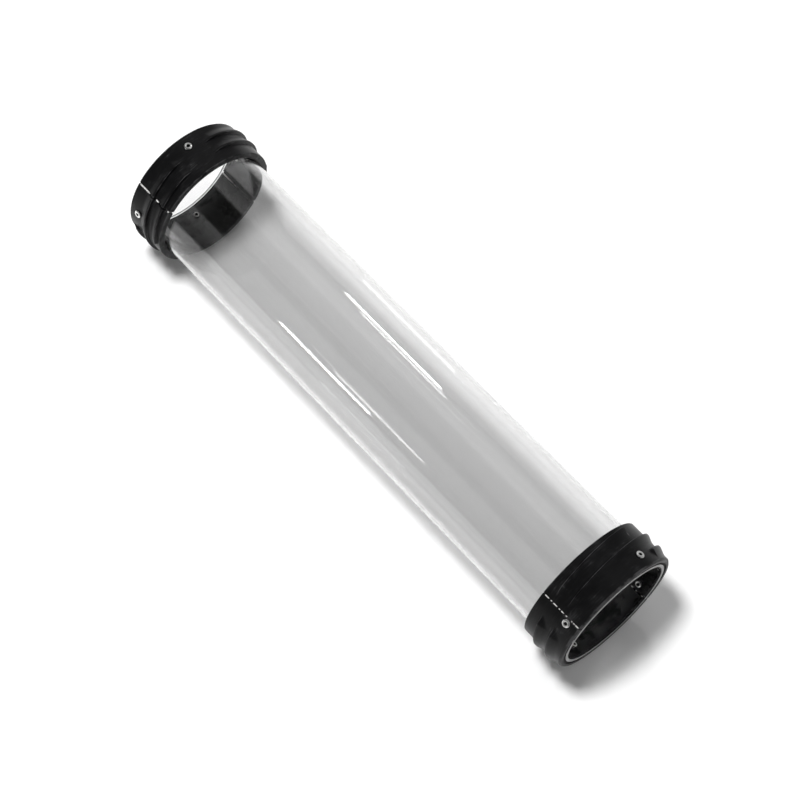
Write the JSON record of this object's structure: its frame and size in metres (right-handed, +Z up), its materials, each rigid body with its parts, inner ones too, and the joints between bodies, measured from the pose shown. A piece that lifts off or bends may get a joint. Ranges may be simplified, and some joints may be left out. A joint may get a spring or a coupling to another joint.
{
  "type": "uv clarifier body tube",
  "caption": "Clear, open body tube of an ultraviolet water clarifier, with a riveted two-part black threaded collar round each end.",
  "frame": {"origin": "on the floor, under the middle of the tube's length and under its axis", "axes": "+X along the tube's axis towards the right collar, +Z up, +Y to the back"},
  "size_m": [0.508, 0.118, 0.118],
  "materials": {
    "clear_tube": "clear, polished",
    "collar": "black moulded plastic, semi-gloss",
    "rivet": "plain bright aluminium"
  },
  "bodies": {
    "root": {"body_tube": "clear_tube", "left_collar_half_1": "collar", "left_collar_half_2": "collar", "left_rivet_1": "rivet", "left_rivet_2": "rivet", "left_rivet_3": "rivet", "left_rivet_4": "rivet", "right_collar_half_1": "collar", "right_collar_half_2": "collar", "right_rivet_1": "rivet", "right_rivet_2": "rivet", "right_rivet_3": "rivet", "right_rivet_4": "rivet"}
  },
  "joints": []
}
